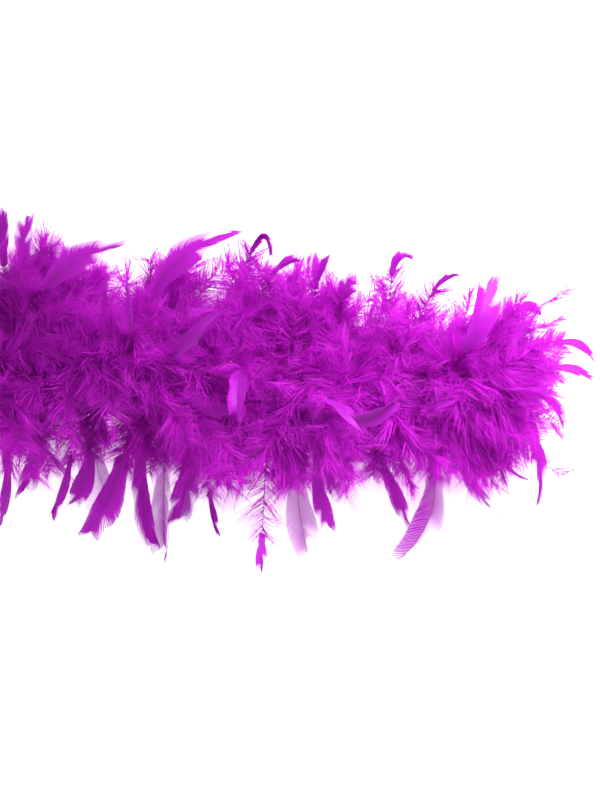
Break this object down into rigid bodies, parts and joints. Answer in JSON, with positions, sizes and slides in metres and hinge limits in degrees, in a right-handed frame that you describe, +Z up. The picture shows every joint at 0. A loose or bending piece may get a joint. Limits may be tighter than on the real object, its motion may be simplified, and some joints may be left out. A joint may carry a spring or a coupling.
{
  "type": "feather boa",
  "caption": "Costume feather boa: magenta turkey flats wound round a thin twisted cord, lying straight, free to bend along its length.",
  "frame": {"origin": "on the surface the boa lies on, under the middle of its length", "axes": "+X along the boa towards its first span, +Z straight up from the surface, +Y across it"},
  "size_m": [1.8402, 0.24, 0.163],
  "materials": {
    "core_cotton": "matte twisted cotton",
    "stitching_thread": "satin polyester thread",
    "dyed_feather": "soft down with satin vanes"
  },
  "bodies": {
    "span_01": {"core_cord_01": "core_cotton", "strand_a_whorl_01": "dyed_feather", "strand_b_whorl_01": "dyed_feather", "end_tuft_right": "dyed_feather", "end_whipping_right": "stitching_thread", "end_knot_right": "core_cotton", "cord_tail_right": "core_cotton"},
    "span_02": {"core_cord_02": "core_cotton", "strand_a_whorl_02": "dyed_feather", "strand_b_whorl_02": "dyed_feather"},
    "span_03": {"core_cord_03": "core_cotton", "strand_a_whorl_03": "dyed_feather", "strand_b_whorl_03": "dyed_feather"},
    "span_04": {"core_cord_04": "core_cotton", "strand_a_whorl_04": "dyed_feather", "strand_b_whorl_04": "dyed_feather"},
    "span_05": {"core_cord_05": "core_cotton", "strand_a_whorl_05": "dyed_feather", "strand_b_whorl_05": "dyed_feather"},
    "span_06": {"core_cord_06": "core_cotton", "strand_a_whorl_06": "dyed_feather", "strand_b_whorl_06": "dyed_feather"},
    "span_07": {"core_cord_07": "core_cotton", "strand_a_whorl_07": "dyed_feather", "strand_b_whorl_07": "dyed_feather"},
    "span_08": {"core_cord_08": "core_cotton", "strand_a_whorl_08": "dyed_feather", "strand_b_whorl_08": "dyed_feather"},
    "span_09": {"core_cord_09": "core_cotton", "strand_a_whorl_09": "dyed_feather", "strand_b_whorl_09": "dyed_feather"},
    "span_10": {"core_cord_10": "core_cotton", "strand_a_whorl_10": "dyed_feather", "strand_b_whorl_10": "dyed_feather"},
    "span_11": {"core_cord_11": "core_cotton", "strand_a_whorl_11": "dyed_feather", "strand_b_whorl_11": "dyed_feather"},
    "span_12": {"core_cord_12": "core_cotton", "strand_a_whorl_12": "dyed_feather", "strand_b_whorl_12": "dyed_feather", "end_tuft_left": "dyed_feather", "end_whipping_left": "stitching_thread", "end_knot_left": "core_cotton", "cord_tail_left": "core_cotton"}
  },
  "joints": [
    {"name": "sideways_bend_01", "type": "hinge", "parent": "span_01", "child": "span_02", "pos_m": [0.7, 0, 0.058], "axis": [0, 0, 1], "range_deg": [-30, 30]},
    {"name": "up_down_bend_02", "type": "hinge", "parent": "span_02", "child": "span_03", "pos_m": [0.56, 0, 0.058], "axis": [0, 1, 0], "range_deg": [-30, 30]},
    {"name": "sideways_bend_03", "type": "hinge", "parent": "span_03", "child": "span_04", "pos_m": [0.42, 0, 0.058], "axis": [0, 0, 1], "range_deg": [-30, 30]},
    {"name": "up_down_bend_04", "type": "hinge", "parent": "span_04", "child": "span_05", "pos_m": [0.28, 0, 0.058], "axis": [0, 1, 0], "range_deg": [-30, 30]},
    {"name": "sideways_bend_05", "type": "hinge", "parent": "span_05", "child": "span_06", "pos_m": [0.14, 0, 0.058], "axis": [0, 0, 1], "range_deg": [-30, 30]},
    {"name": "up_down_bend_06", "type": "hinge", "parent": "span_06", "child": "span_07", "pos_m": [0, 0, 0.058], "axis": [0, 1, 0], "range_deg": [-30, 30]},
    {"name": "sideways_bend_07", "type": "hinge", "parent": "span_07", "child": "span_08", "pos_m": [-0.14, 0, 0.058], "axis": [0, 0, 1], "range_deg": [-30, 30]},
    {"name": "up_down_bend_08", "type": "hinge", "parent": "span_08", "child": "span_09", "pos_m": [-0.28, 0, 0.058], "axis": [0, 1, 0], "range_deg": [-30, 30]},
    {"name": "sideways_bend_09", "type": "hinge", "parent": "span_09", "child": "span_10", "pos_m": [-0.42, 0, 0.058], "axis": [0, 0, 1], "range_deg": [-30, 30]},
    {"name": "up_down_bend_10", "type": "hinge", "parent": "span_10", "child": "span_11", "pos_m": [-0.56, 0, 0.058], "axis": [0, 1, 0], "range_deg": [-30, 30]},
    {"name": "sideways_bend_11", "type": "hinge", "parent": "span_11", "child": "span_12", "pos_m": [-0.7, 0, 0.058], "axis": [0, 0, 1], "range_deg": [-30, 30]}
  ]
}
